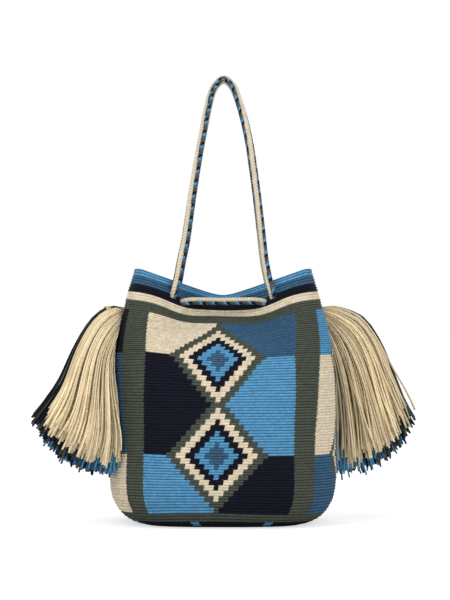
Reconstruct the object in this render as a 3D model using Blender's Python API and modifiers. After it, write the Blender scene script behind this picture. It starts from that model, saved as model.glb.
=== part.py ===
"""A crocheted bucket bag with two big side tassels and a cord handle.

Metres, +Z up.  The bag stands on its flat base at the origin; its front looks along -Y.
The body is worked round and round from the base, so places on the wall are given by a row,
counted up from the lower edge, and a turn, from 0 to 1 round the bag from the front centre.
"""
import bisect
import functools
import math

import bmesh
import bpy
from mathutils import Matrix, Vector

# The crocheted body
ROWS = 97                      # rows of stitches from the lower edge to the rim
AROUND = 36                    # points round each ring of the wall
BODY_HEIGHT = 0.269            # rim at the four corners of the mouth
BASE_HALF_WIDTH = 0.080
BASE_HALF_DEPTH = 0.074
BELLY_HALF_WIDTH = 0.1187
BELLY_HALF_DEPTH = 0.109
MOUTH_HALF_WIDTH = 0.0928
MOUTH_HALF_DEPTH = 0.084
MOUTH_HALF_GAP = 0.018         # front rim to the middle plane, where the mouth folds in
MOUTH_DIP = 0.0298             # how far the rim sags at the front and back centre
BELLY_SQUARENESS = 3.0         # power of the section: 2 is an ellipse, 5 nearly a box
MOUTH_SQUARENESS = 5.0
DIP_SHARPNESS = 2.4
WALL = 0.003
RIDGE = 0.0011                 # a crest of crochet stands this far above the groove beside it
ROWS_IN_RIDGE = 2
BASE_EDGE_DROP = 0.0008        # the rounded edge of the base, below halfway to the lowest row
LIP_RISE = 0.0009              # the rounded rim stands this far above the last row
INSIDE_ROWS = (97, 93, 88, 82, 76, 70, 64, 56, 46, 34, 22, 13, 8, 5)

# The cords at the mouth
CORD_DIAMETER = 0.008
CORD_POINT_SPACING = 0.019
EYELET_CLEARANCE = 0.0005
KNOT_RADIUS = 0.008
TOUCH_GAP = 0.0003             # between pieces that touch

# The side tassels
TIE_ROW = 80
TIE_TURN = 26 / 148            # from the front centre, towards the side
TASSEL_TURN = math.radians(24) # the tassels face this far round from the sides
TIE_DIAMETER = 0.004
TIE_HOLE_CLEARANCE = 0.0005
TIE_HOLE_REACH = 0.012         # the cutter of the tie's hole, each way from the wall
TIE_KNOT_RADIUS = 0.0055
TIE_BEAD_RADIUS = 0.0035
TIE_BEAD_SLANT = 0.0014        # room that the slanting wall takes beside the bead
TIE_BEAD_LENGTH = 0.0028
LOOP_RADIUS = 0.0022
LOOP_LENGTH = 0.0070
WRAP_RADIUS = 0.0068
WRAP_LENGTH = 0.0050
TASSEL_REACH = 0.0985          # from the hanging loop's pivot to the tip of the spread strands
TASSEL_LENGTH = 0.174
TASSEL_HALF_DEPTH = 0.046
TASSEL_WALL_GAP = 0.0015
STRAND_GAP = 0.0003            # each bundle stays this far inside its share at the neck
STRAND_GAP_SPREAD = 0.022      # and further by this share of the half depth lower down
FLUTE = 0.035                  # share of the radius lost between two locks of strands

# How the wall's sizes change with the row: (row, share)
SPREAD = ((-2, 0.0), (0, 0.336), (3, 0.65), (8, 0.915), (14, 1.0), (20, 1.0))
WIDTH_TAPER = ((14, 0.0), (25, 0.0), (42, 0.03), (61, 0.10), (72, 0.30), (82, 0.57), (89, 0.76),
               (97, 1.0))
DEPTH_TAPER = ((14, 0.0), (25, 0.0), (44, 0.05), (61, 0.24), (82, 0.70), (97, 1.0))
HEIGHTS = ((-2, 0.0), (0, 0.012), (3, 0.039), (8, 0.096), (14, 0.163), (25, 0.277), (44, 0.485),
           (52, 0.571), (61, 0.662), (72, 0.755), (82, 0.844), (89, 0.914), (97, 1.0))
PINCHES = ((20, 0.0), (34, 0.0), (44, 0.025), (52, 0.095), (61, 0.21), (70, 0.42), (78, 0.59),
           (82, 0.67), (89, 0.825), (97, 1.0))
DIPS = ((30, 0.0), (46, 0.0), (61, 0.084), (78, 0.47), (82, 0.55), (89, 0.72), (97, 1.0))
SQUARING = ((20, 0.0), (36, 0.0), (61, 0.45), (82, 1.0), (97, 1.0))

# The front cords' routes, chosen by hand, with heights from the rim's corners; the back ones are
# their mirror images
HANDLE_ROUTE = (
    (-0.0531, -0.0563, -0.0337), (-0.0526, -0.0598, -0.0312), (-0.0519, -0.0632, -0.0282),
    (-0.0506, -0.0657, -0.0240), (-0.0489, -0.0660, -0.0180), (-0.0470, -0.0636, -0.0095),
    (-0.0437, -0.0572, 0.0085), (-0.0391, -0.0495, 0.0310), (-0.0335, -0.0385, 0.0697),
    (-0.0273, -0.0285, 0.1099), (-0.0200, -0.0180, 0.1494), (-0.0141, -0.0102, 0.1780),
    (-0.0085, -0.0066, 0.1924), (0.0008, -0.0047, 0.1996), (0.0102, -0.0066, 0.1924),
    (0.0162, -0.0102, 0.1780), (0.0225, -0.0165, 0.1565), (0.0280, -0.0230, 0.1312),
    (0.0320, -0.0298, 0.1046), (0.0356, -0.0370, 0.0781), (0.0397, -0.0465, 0.0433),
    (0.0437, -0.0572, 0.0085), (0.0470, -0.0636, -0.0095), (0.0489, -0.0660, -0.0180),
    (0.0506, -0.0657, -0.0240), (0.0519, -0.0632, -0.0282), (0.0526, -0.0598, -0.0312),
    (0.0531, -0.0563, -0.0337))
MOUTH_ROUTE = (
    (-0.0464, -0.0526, -0.0372), (-0.0400, -0.0548, -0.0358), (-0.0310, -0.0550, -0.0350),
    (-0.0160, -0.0505, -0.0352), (0.0000, -0.0475, -0.0355), (0.0160, -0.0505, -0.0352),
    (0.0310, -0.0550, -0.0350), (0.0400, -0.0548, -0.0358), (0.0464, -0.0526, -0.0372))
KNOT_CENTRE = (0.0540, -0.0495, -0.0385)

# The tassel's outline: where its outer edge is, as shares of the reach and of the length, how
# far down its inner edge is, and the half depth there
TASSEL_OUTLINE = (
    (0.420, 0.012, 0.120, 0.43), (0.600, 0.165, 0.264, 0.65), (0.780, 0.375, 0.455, 0.83),
    (0.945, 0.570, 0.665, 0.95), (1.000, 0.655, 0.825, 1.00), (0.940, 0.780, 0.940, 0.98),
    (0.610, 0.965, 1.000, 0.80))
# Each bundle of strands: colour, and where its share of the tassel starts and ends, in degrees
BUNDLES = (("cream", 15, 165), ("sky", 165, 217.5), ("denim", 217.5, 270), ("grey", 270, 322.5),
           ("navy", 322.5, 375))
DEGREES_BETWEEN_FLUTES = 11

COLOURS = {
    "cream": (0.72, 0.61, 0.42), "navy": (0.012, 0.013, 0.026), "denim": (0.055, 0.14, 0.28),
    "sky": (0.09, 0.33, 0.62), "grey": (0.10, 0.12, 0.098), "thread": (0.35, 0.27, 0.18)}
YARN_ROUGHNESS = 0.85


def clear_scene():
    """Remove every object, mesh, curve and collection that is there."""
    for item in list(bpy.data.objects):
        bpy.data.objects.remove(item, do_unlink=True)
    for store in (bpy.data.meshes, bpy.data.curves, bpy.data.materials, bpy.data.collections):
        for item in list(store):
            store.remove(item)


def add_collection(name):
    collection = bpy.data.collections.new(name)
    bpy.context.scene.collection.children.link(collection)
    return collection


def yarn_material(colour):
    """One plain material for each colour of yarn."""
    material = bpy.data.materials.get(colour + "_yarn")
    if material is None:
        material = bpy.data.materials.new(colour + "_yarn")
        material.use_nodes = True
        shader = material.node_tree.nodes["Principled BSDF"]
        shader.inputs["Base Color"].default_value = (*COLOURS[colour], 1.0)
        shader.inputs["Roughness"].default_value = YARN_ROUGHNESS
        shader.inputs["Metallic"].default_value = 0.0
    return material


def add_object(name, data, collection, colour=None):
    item = bpy.data.objects.new(name, data)
    collection.objects.link(item)
    if colour:
        data.materials.append(yarn_material(colour))
    return item


def hide_cutter(item):
    item.hide_render = True
    item.display_type = "WIRE"


# Reading smooth curves

def smooth_value(points, at):
    """Read a smooth curve through (place, value) points, held level past its two ends."""
    if at <= points[0][0]:
        return points[0][1]
    if at >= points[-1][0]:
        return points[-1][1]
    index = bisect.bisect_right([place for place, _ in points], at) - 1
    (start, first), (end, last) = points[index], points[index + 1]
    before = points[max(index - 1, 0)]
    after = points[min(index + 2, len(points) - 1)]
    span = end - start
    slope_in = span * (last - before[1]) / (end - before[0])
    slope_out = span * (after[1] - first) / (after[0] - start)
    t = (at - start) / span
    return (first * (2 * t**3 - 3 * t**2 + 1) + slope_in * (t**3 - 2 * t**2 + t)
            + last * (3 * t**2 - 2 * t**3) + slope_out * (t**3 - t**2))


def smooth_route(points, spacing):
    """Points at an even spacing along a smooth curve through a cord's route."""
    corners = [Vector(point) for point in points]
    ends = [2 * corners[0] - corners[1]] + corners + [2 * corners[-1] - corners[-2]]
    fine = []
    for index in range(1, len(ends) - 2):
        a, b, c, d = ends[index - 1:index + 3]
        for step in range(20):
            t = step / 20
            fine.append(0.5 * (2 * b + (c - a) * t + (2 * a - 5 * b + 4 * c - d) * t**2
                               + (3 * b - a - 3 * c + d) * t**3))
    fine.append(corners[-1])
    walked = [0.0]
    for first, last in zip(fine, fine[1:]):
        walked.append(walked[-1] + (last - first).length)
    count = max(2, round(walked[-1] / spacing))
    route = []
    for index in range(count + 1):
        goal = walked[-1] * index / count
        place = min(bisect.bisect_left(walked, goal), len(fine) - 1)
        if place == 0:
            route.append(fine[0])
            continue
        share = (goal - walked[place - 1]) / (walked[place] - walked[place - 1])
        route.append(fine[place - 1].lerp(fine[place], share))
    return route


# The wall's shape

def half_sizes(row):
    """Half width and half depth of the wall's section at a row."""
    spread = smooth_value(SPREAD, row)
    width = BASE_HALF_WIDTH + (BELLY_HALF_WIDTH - BASE_HALF_WIDTH) * spread
    depth = BASE_HALF_DEPTH + (BELLY_HALF_DEPTH - BASE_HALF_DEPTH) * spread
    width -= (BELLY_HALF_WIDTH - MOUTH_HALF_WIDTH) * smooth_value(WIDTH_TAPER, row)
    depth -= (BELLY_HALF_DEPTH - MOUTH_HALF_DEPTH) * smooth_value(DEPTH_TAPER, row)
    return width, depth


@functools.lru_cache(maxsize=None)
def section(row):
    """The section's points at fine, even angles, and the distance walked to each of them."""
    width, depth = half_sizes(row)
    power = BELLY_SQUARENESS + (MOUTH_SQUARENESS - BELLY_SQUARENESS) * smooth_value(SQUARING, row)
    points, walked = [], [0.0]
    steps = 90
    for step in range(steps + 1):
        angle = math.pi / 2 * step / steps
        across, along = math.sin(angle), math.cos(angle)
        radius = ((across / width)**power + (along / depth)**power)**(-1 / power)
        points.append((radius * across, radius * along))
        if step:
            walked.append(walked[-1] + math.dist(points[-1], points[-2]))
    return points, walked


def section_point(row, turn):
    """A point on the section, at an even pace round the bag, before the mouth is folded in."""
    points, walked = section(row)
    quarter = (turn % 1.0) * 4
    which = int(quarter)
    share = quarter - which
    if which % 2:
        share = 1 - share
    goal = walked[-1] * share
    place = min(max(bisect.bisect_left(walked, goal), 1), len(points) - 1)
    part = (goal - walked[place - 1]) / (walked[place] - walked[place - 1])
    x = points[place - 1][0] + (points[place][0] - points[place - 1][0]) * part
    y = points[place - 1][1] + (points[place][1] - points[place - 1][1]) * part
    return (x if which < 2 else -x), (-y if which in (0, 3) else y)


def wall_point(row, turn):
    """A point on the middle of the ridges outside: the front and back fold in at the mouth."""
    x, y = section_point(row, turn)
    width = half_sizes(row)[0]
    fold = math.cos(math.pi / 2 * min(1.0, abs(x) / width))**DIP_SHARPNESS
    deepest = 1 - MOUTH_HALF_GAP / MOUTH_HALF_DEPTH
    y *= 1 - deepest * smooth_value(PINCHES, row) * fold
    z = BODY_HEIGHT * smooth_value(HEIGHTS, row) - MOUTH_DIP * smooth_value(DIPS, row) * fold
    return Vector((x, y, z))


def wall_normal(row, turn):
    """The direction straight out of the wall."""
    low, high = max(row - 0.7, 0.0), min(row + 0.7, ROWS)
    up = wall_point(high, turn) - wall_point(low, turn)
    round_bag = wall_point(row, turn + 0.004) - wall_point(row, turn - 0.004)
    return round_bag.cross(up).normalized()


def wall_ring(row, outward):
    ring = []
    for index in range(AROUND):
        turn = index / AROUND
        ring.append(wall_point(row, turn) + wall_normal(row, turn) * outward)
    return ring


def flat_ring(half_width, half_depth, height):
    """A level ring of the base, in the shape of the lowest row."""
    width, depth = half_sizes(0)
    ring = []
    for index in range(AROUND):
        x, y = section_point(0, index / AROUND)
        ring.append(Vector((x / width * half_width, y / depth * half_depth, height)))
    return ring


def loft(rings):
    """A closed mesh through rings of points, with a flat cap on its first and last ring."""
    bm = bmesh.new()
    loops = [[bm.verts.new(point) for point in ring] for ring in rings]
    count = len(loops[0])
    for lower, upper in zip(loops, loops[1:]):
        for index in range(count):
            after = (index + 1) % count
            bm.faces.new((lower[index], lower[after], upper[after], upper[index]))
    bm.faces.new(list(reversed(loops[0])))
    bm.faces.new(loops[-1])
    bmesh.ops.recalc_face_normals(bm, faces=bm.faces)
    mesh = bpy.data.meshes.new("loft")
    bm.to_mesh(mesh)
    bm.free()
    return mesh


def make_body(parts, cutters):
    """The crocheted body: ridged outside, plain inside, with eyelets and two tie holes."""
    rings = [flat_ring(BASE_HALF_WIDTH, BASE_HALF_DEPTH, 0.0)]
    rings.append([(low + high) / 2 - Vector((0, 0, BASE_EDGE_DROP))
                  for low, high in zip(rings[0], wall_ring(0, -RIDGE / 2))])
    for row in range(ROWS + 1):
        crest = row % ROWS_IN_RIDGE
        rings.append(wall_ring(row, RIDGE / 2 if crest else -RIDGE / 2))
    rings.append([point + Vector((0, 0, LIP_RISE)) for point in wall_ring(ROWS, -WALL / 2)])
    for row in INSIDE_ROWS:
        rings.append(wall_ring(row, -WALL - RIDGE / 2))
    rings.append(flat_ring(BASE_HALF_WIDTH, BASE_HALF_DEPTH, WALL))
    body = add_object("bag_body", loft(rings), parts, "denim")
    for item in cutters.objects:
        cut = body.modifiers.new(item.name, "BOOLEAN")
        cut.operation = "DIFFERENCE"
        cut.solver = "EXACT"
        cut.object = item
    return body


# Cords and knots

def mirrored(points, mirror_x, mirror_y):
    """Points given from the rim's height, moved to their place on one side of the bag."""
    return [Vector((x * mirror_x, y * mirror_y, BODY_HEIGHT + z)) for x, y, z in points]


def cord_curve(name, points, diameter):
    curve = bpy.data.curves.new(name, "CURVE")
    curve.dimensions = "3D"
    curve.bevel_depth = diameter / 2
    curve.bevel_resolution = 2
    curve.use_fill_caps = True
    spline = curve.splines.new("POLY")
    spline.points.add(len(points) - 1)
    for place, point in zip(spline.points, points):
        place.co = (*point, 1.0)
    return curve


def mesh_of_curve(name, curve, collection):
    """Turn a curve into a closed mesh object, for a cutter."""
    item = add_object(name + "_curve", curve, collection)
    bpy.context.view_layer.update()
    evaluated = item.evaluated_get(bpy.context.evaluated_depsgraph_get())
    mesh = bpy.data.meshes.new_from_object(evaluated)
    bpy.data.objects.remove(item, do_unlink=True)
    bm = bmesh.new()
    bm.from_mesh(mesh)
    bmesh.ops.remove_doubles(bm, verts=bm.verts, dist=1e-6)
    bmesh.ops.recalc_face_normals(bm, faces=bm.faces)
    bm.to_mesh(mesh)
    bm.free()
    return add_object(name, mesh, collection)


def make_eyelet_cutter(name, points, cutters):
    """The hole that a cord goes through: the cord's own route, a little thicker."""
    points = [2 * points[0] - points[1]] + points
    curve = cord_curve(name, points, CORD_DIAMETER + 2 * EYELET_CLEARANCE)
    hide_cutter(mesh_of_curve(name, curve, cutters))


def make_cords(parts, cutters):
    """The handle cord and the cord across the mouth, in front and behind, and their knots."""
    for side, mirror in (("front", 1), ("back", -1)):
        handle = smooth_route(mirrored(HANDLE_ROUTE, 1, mirror), CORD_POINT_SPACING / 2)
        mouth = smooth_route(mirrored(MOUTH_ROUTE, 1, mirror), CORD_POINT_SPACING / 2)
        add_object(side + "_handle_cord",
                   cord_curve(side + "_handle_cord", handle, CORD_DIAMETER), parts, "cream")
        add_object(side + "_mouth_cord",
                   cord_curve(side + "_mouth_cord", mouth, CORD_DIAMETER), parts, "cream")
        for hand, ends in (("left", (handle[:4], mouth[:3])),
                           ("right", (handle[:-5:-1], mouth[:-4:-1]))):
            make_eyelet_cutter(side + "_" + hand + "_handle_eyelet", ends[0], cutters)
            make_eyelet_cutter(side + "_" + hand + "_mouth_eyelet", ends[1], cutters)
    for side, mirror in (("front", 1), ("back", -1)):
        for hand, sign in (("left", -1), ("right", 1)):
            make_knot(side + "_" + hand + "_knot",
                      mirrored([KNOT_CENTRE], sign, mirror)[0], KNOT_RADIUS, parts, "cream")


def make_knot(name, centre, radius, parts, colour):
    """A round stopper knot."""
    mesh = bpy.data.meshes.new(name)
    bm = bmesh.new()
    bmesh.ops.create_uvsphere(bm, u_segments=12, v_segments=8, radius=radius)
    bm.to_mesh(mesh)
    bm.free()
    mesh.shade_smooth()
    knot = add_object(name, mesh, parts, colour)
    knot.location = centre
    return knot


# Tassels

def turned(name, profile, pivot, outward, collection, colour=None):
    """A round piece turned about the line through the pivot: (distance out, radius) points."""
    mesh = bpy.data.meshes.new(name)
    points = [(radius, 0.0, along) for along, radius in reversed(profile)]
    mesh.from_pydata(points, [(i, i + 1) for i in range(len(points) - 1)], [])
    item = add_object(name, mesh, collection, colour)
    screw = item.modifiers.new("turn", "SCREW")
    screw.axis = "Z"
    screw.steps = 12
    screw.render_steps = 12
    screw.use_merge_vertices = True
    screw.merge_threshold = 1e-5
    item.matrix_world = Matrix.Translation(pivot) @ outward.to_track_quat("Z", "Y").to_matrix().to_4x4()
    return item


def wall_reach(outward, height):
    """How far the bag reaches in one direction, at this height or anywhere above it."""
    reach = -1.0
    for row in range(14, ROWS + 1, 3):
        if BODY_HEIGHT * smooth_value(HEIGHTS, row) < height - 0.004 and row != 14:
            continue
        for index in range(72):
            reach = max(reach, wall_point(row, index / 72).dot(outward))
    return reach + RIDGE / 2


def bead_start():
    """How far out from the wall's middle line the tie's outer bead starts."""
    return RIDGE / 2 + TIE_BEAD_SLANT + TOUCH_GAP


def tassel_places(sign):
    """The tassel's directions and the places of its tie and pivot, for sign -1 left, 1 right."""
    outward = Vector((math.cos(TASSEL_TURN), math.sin(TASSEL_TURN), 0)) * sign
    sideways = Vector((math.sin(TASSEL_TURN), -math.cos(TASSEL_TURN), 0))
    turn = (1 - TIE_TURN) if sign < 0 else (0.5 - TIE_TURN)
    tie = wall_point(TIE_ROW, turn)
    pivot = tie + outward * (bead_start() + TIE_BEAD_LENGTH + LOOP_RADIUS + TOUCH_GAP)
    return outward, sideways, tie, pivot


def bundle_rings(start, end, pivot, outward, sideways):
    """Rings of one bundle's share of the tassel, from the neck to the cut ends."""
    neck_out = LOOP_LENGTH + WRAP_LENGTH + 2 * TOUCH_GAP
    neck = WRAP_RADIUS * 0.92
    rows = [(Vector((neck_out, neck)), Vector((neck_out, -neck)), neck)]
    for reach, drop, inner_drop, depth in TASSEL_OUTLINE:
        height = -TASSEL_LENGTH * inner_drop
        clear = wall_reach(outward, pivot.z + height) + TASSEL_WALL_GAP - pivot.dot(outward)
        rows.append((Vector((TASSEL_REACH * reach, -TASSEL_LENGTH * drop)),
                     Vector((clear, height)), TASSEL_HALF_DEPTH * depth))
    steps = max(2, round((end - start) / DEGREES_BETWEEN_FLUTES))
    rings = []
    for outer, inner, depth in rows:
        centre, half = (outer + inner) / 2, (outer - inner) / 2
        long_side = half.length
        along = half.normalized()
        polygon = bundle_polygon(start, end, steps, long_side, depth)
        ring = []
        for p, q in polygon:
            place = centre + along * p
            ring.append(pivot + outward * place.x + sideways * q + Vector((0, 0, place.y)))
        rings.append(ring)
    return rings


def bundle_polygon(start, end, steps, long_side, depth):
    """A slice of an ellipse between two angles, kept a small gap inside its two cuts."""
    cuts = []
    for angle, turn in ((math.radians(start), 1), (math.radians(end), -1)):
        ray = Vector((long_side * math.cos(angle), depth * math.sin(angle)))
        cuts.append(Vector((-ray.y, ray.x)).normalized() * turn)
    first_in, last_in = cuts
    gap = STRAND_GAP + STRAND_GAP_SPREAD * depth
    spread = first_in.x * last_in.y - first_in.y * last_in.x
    apex = Vector(((last_in.y - first_in.y) / spread, (first_in.x - last_in.x) / spread))
    polygon = [apex * gap]
    for step in range(steps + 1):
        angle = math.radians(start + (end - start) * step / steps)
        point = Vector((long_side * math.cos(angle), depth * math.sin(angle)))
        if step == 0:
            point += first_in * gap
        elif step == steps:
            point += last_in * gap
        elif step % 2:
            point *= 1 - FLUTE
        polygon.append(point)
    return polygon


def make_tassel(hand, sign, parts, cutters):
    """A tie through the wall, a hanging loop, the neck's wrap and five bundles of strands."""
    outward, sideways, tie, pivot = tassel_places(sign)
    hole = turned(hand + "_tie_hole",
                  ((-TIE_HOLE_REACH, 0), (-TIE_HOLE_REACH, TIE_DIAMETER / 2 + TIE_HOLE_CLEARANCE),
                   (TIE_HOLE_REACH, TIE_DIAMETER / 2 + TIE_HOLE_CLEARANCE), (TIE_HOLE_REACH, 0)),
                  tie, outward, cutters)
    hide_cutter(hole)
    inside = -WALL - RIDGE / 2 - TIE_BEAD_SLANT - TIE_KNOT_RADIUS
    bead = bead_start()
    knot = [(inside + TIE_KNOT_RADIUS * math.sin(math.radians(angle)),
             TIE_KNOT_RADIUS * math.cos(math.radians(angle))) for angle in (-90, -60, -30, 0, 30)]
    knot[0] = (knot[0][0], 0)
    turned(hand + "_tie_cord",
           knot + [(inside + TIE_KNOT_RADIUS * 0.93, TIE_DIAMETER / 2), (bead, TIE_DIAMETER / 2),
                   (bead + TIE_BEAD_LENGTH * 0.2, TIE_BEAD_RADIUS),
                   (bead + TIE_BEAD_LENGTH * 0.8, TIE_BEAD_RADIUS),
                   (bead + TIE_BEAD_LENGTH, TIE_BEAD_RADIUS * 0.6), (bead + TIE_BEAD_LENGTH, 0)],
           tie, outward, parts, "cream")
    ball = [(-LOOP_RADIUS * math.cos(math.radians(angle)), LOOP_RADIUS * math.sin(math.radians(angle)))
            for angle in (0, 30, 60, 90)]
    ball[0] = (-LOOP_RADIUS, 0)
    turned(hand + "_hanging_loop", ball + [(LOOP_LENGTH, LOOP_RADIUS), (LOOP_LENGTH, 0)],
           pivot, outward, parts, "thread")
    start = LOOP_LENGTH + TOUCH_GAP
    turned(hand + "_neck_wrap",
           ((start, 0), (start, WRAP_RADIUS * 0.8), (start + WRAP_LENGTH * 0.25, WRAP_RADIUS),
            (start + WRAP_LENGTH * 0.75, WRAP_RADIUS), (start + WRAP_LENGTH, WRAP_RADIUS * 0.85),
            (start + WRAP_LENGTH, 0)),
           pivot, outward, parts, "cream")
    for colour, first, last in BUNDLES:
        rings = bundle_rings(first, last, pivot, outward, sideways)
        add_object(hand + "_" + colour + "_strands", loft(rings), parts, colour)
    print(hand, "pivot", [round(value, 5) for value in pivot])


def main():
    clear_scene()
    parts = add_collection("mochila_bag")
    cutters = add_collection("cutters")
    make_cords(parts, cutters)
    make_tassel("left", -1, parts, cutters)
    make_tassel("right", 1, parts, cutters)
    make_body(parts, cutters)


main()
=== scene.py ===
# %% [markdown]
# # A crocheted mochila with two tassels
# The bag stands in one shared frame with its plain solids: metres, +Z up, the front towards -Y.
# The solids already have the right size and place, so every piece here is made in that same
# frame, lies over the solid it stands for, and rides with the body that carries it.

# %% Load the frame
import functools
import math

import bpy
import numpy as np
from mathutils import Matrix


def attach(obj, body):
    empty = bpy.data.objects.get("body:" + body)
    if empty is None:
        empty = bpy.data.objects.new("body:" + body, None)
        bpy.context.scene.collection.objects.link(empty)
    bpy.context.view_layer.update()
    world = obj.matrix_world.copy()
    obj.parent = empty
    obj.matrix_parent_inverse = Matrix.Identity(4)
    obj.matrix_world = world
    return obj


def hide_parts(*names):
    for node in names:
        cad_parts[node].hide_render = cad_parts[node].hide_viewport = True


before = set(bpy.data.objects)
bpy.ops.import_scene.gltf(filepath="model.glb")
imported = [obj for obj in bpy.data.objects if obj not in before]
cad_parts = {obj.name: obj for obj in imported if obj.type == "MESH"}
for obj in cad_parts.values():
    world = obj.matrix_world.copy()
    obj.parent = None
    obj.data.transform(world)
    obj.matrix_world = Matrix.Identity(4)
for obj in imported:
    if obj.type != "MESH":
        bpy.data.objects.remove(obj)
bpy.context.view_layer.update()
MM = 0.001

# %% [markdown]
# The bag was seen level, from about three metres, at half its height. A long lens at that
# distance keeps the sides nearly parallel. The camera is set first, because the cords are
# measured against what it sees.

# %% Camera
FOCAL_PIXELS = 2830
PICTURE_HEIGHT = 600
bpy.ops.object.camera_add(location=(0.0021, -3.0, 0.235), rotation=(math.pi / 2, 0, 0))
camera = bpy.context.object
camera.name = "studio_camera"
camera.data.sensor_fit = "VERTICAL"
camera.data.sensor_height = 24
camera.data.lens = FOCAL_PIXELS / PICTURE_HEIGHT * camera.data.sensor_height
camera.data.clip_end = 100
bpy.context.scene.camera = camera
print("lens:", round(camera.data.lens, 1), "mm")

# %% [markdown]
# Every piece of this bag is made of yarn that runs round or along something, so one way of
# making suits them all. A flat grid with its UV map is added, and its points are then laid on
# the surface: u goes round, v goes along. The seam is merged afterwards, and for cords, knots
# and strands the open ends are filled, so that each of these is a closed skin.


# %% Helpers: a grid that is laid on a surface
def deselect_all():
    bpy.ops.object.select_all(action="DESELECT")


def add_grid(name, across, up):
    """A flat grid, one unit each way, with the column and the row number of each point."""
    deselect_all()
    bpy.ops.mesh.primitive_grid_add(x_subdivisions=across, y_subdivisions=up, size=1)
    piece = bpy.context.object
    piece.name = name
    piece.data.name = name
    flat = np.empty(len(piece.data.vertices) * 3)
    piece.data.vertices.foreach_get("co", flat)
    flat = flat.reshape(-1, 3)
    columns = len(np.unique(flat[:, 0].round(6))) - 1
    rows = len(np.unique(flat[:, 1].round(6))) - 1
    column = np.rint((flat[:, 0] + 0.5) * columns).astype(int)
    row = np.rint((flat[:, 1] + 0.5) * rows).astype(int)
    return piece, column, row


def close_skin(piece, near=1e-6, fill=True):
    """Merge the seam, close the open ends and turn every face outwards."""
    deselect_all()
    piece.select_set(True)
    bpy.context.view_layer.objects.active = piece
    bpy.ops.object.mode_set(mode="EDIT")
    bpy.ops.mesh.select_all(action="SELECT")
    bpy.ops.mesh.remove_doubles(threshold=near)
    if fill:
        bpy.ops.mesh.select_mode(type="VERT")
        bpy.ops.mesh.select_all(action="DESELECT")
        bpy.ops.mesh.select_non_manifold(extend=False)
        bpy.ops.mesh.edge_face_add()
    bpy.ops.mesh.select_all(action="SELECT")
    bpy.ops.mesh.normals_make_consistent(inside=False)
    bpy.ops.object.mode_set(mode="OBJECT")
    bpy.ops.object.shade_smooth()


def lay(piece, column, row, points, fill=True):
    """Put the grid's points in their places and close the skin."""
    places = points[row, column]
    piece.data.vertices.foreach_set("co", places.astype(float).ravel())
    piece.data.update()
    close_skin(piece, fill=fill)
    return piece


def paint(piece, colours):
    """Keep a colour for each corner of each face, where the yarn's colour changes."""
    layer = piece.data.color_attributes.new("yarn", "FLOAT_COLOR", "CORNER")
    full = np.ones((len(piece.data.loops), 4))
    full[:, :3] = colours
    layer.data.foreach_set("color", full.ravel())


def corner_places(piece):
    """The u and v of each corner, and of the middle of each corner's face."""
    uv = np.empty(len(piece.data.loops) * 2)
    piece.data.uv_layers.active.data.foreach_get("uv", uv)
    uv = uv.reshape(-1, 2)
    middle = uv.reshape(-1, 4, 2).mean(axis=1).repeat(4, axis=0)
    return uv, middle


# %% [markdown]
# Yarn comes in five colours, and they are written once here, in linear light, because every
# other piece picks from them.

# %% The colours of the yarn
CREAM = (0.780, 0.672, 0.500)
NAVY = (0.0080, 0.0090, 0.0180)
SKY = (0.104, 0.325, 0.560)
DENIM = (0.046, 0.120, 0.215)
GREY = (0.080, 0.092, 0.071)
YARNS = {"cream": CREAM, "navy": NAVY, "sky": SKY, "denim": DENIM, "grey": GREY}
STRAND_YARNS = dict(YARNS, cream=(0.900, 0.750, 0.490))
print("yarns:", ", ".join(YARNS))

# %% [markdown]
# All yarn shows the same two things close up: plies that wind round it, and a haze of fibres.
# They differ only in scale from piece to piece, so they are two node groups. The first turns
# a UV map into slanting plies. The second breaks the colour up a little, as dyed cotton does.


# %% Two node groups for yarn
def new_group(name, inputs, outputs):
    group = bpy.data.node_groups.new(name, "ShaderNodeTree")
    for label, kind, value in inputs:
        socket = group.interface.new_socket(label, in_out="INPUT", socket_type=kind)
        socket.default_value = value
    for label, kind in outputs:
        group.interface.new_socket(label, in_out="OUTPUT", socket_type=kind)
    start = group.nodes.new("NodeGroupInput")
    end = group.nodes.new("NodeGroupOutput")
    return group, start, end


def math_node(tree, operation, first, second=None, third=None):
    node = tree.nodes.new("ShaderNodeMath")
    node.operation = operation
    for index, value in enumerate((first, second, third)):
        if value is None:
            continue
        if isinstance(value, (int, float)):
            node.inputs[index].default_value = value
        else:
            tree.links.new(value, node.inputs[index])
    return node.outputs[0]


def make_ply_group():
    """Plies: a wave that climbs along v while it goes round u."""
    group, start, end = new_group(
        "yarn plies",
        [("Round", "NodeSocketFloat", 2.0), ("Along", "NodeSocketFloat", 40.0)],
        [("Height", "NodeSocketFloat")])
    uv = group.nodes.new("ShaderNodeUVMap")
    split = group.nodes.new("ShaderNodeSeparateXYZ")
    group.links.new(uv.outputs[0], split.inputs[0])
    round_yarn = math_node(group, "MULTIPLY", split.outputs[0], start.outputs["Round"])
    along = math_node(group, "MULTIPLY_ADD", split.outputs[1], start.outputs["Along"], round_yarn)
    share = math_node(group, "FRACT", along)
    centred = math_node(group, "SUBTRACT", share, 0.5)
    square = math_node(group, "MULTIPLY", centred, centred)
    height = math_node(group, "MULTIPLY_ADD", square, -4.0, 1.0)
    group.links.new(height, end.inputs["Height"])
    return group


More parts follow.
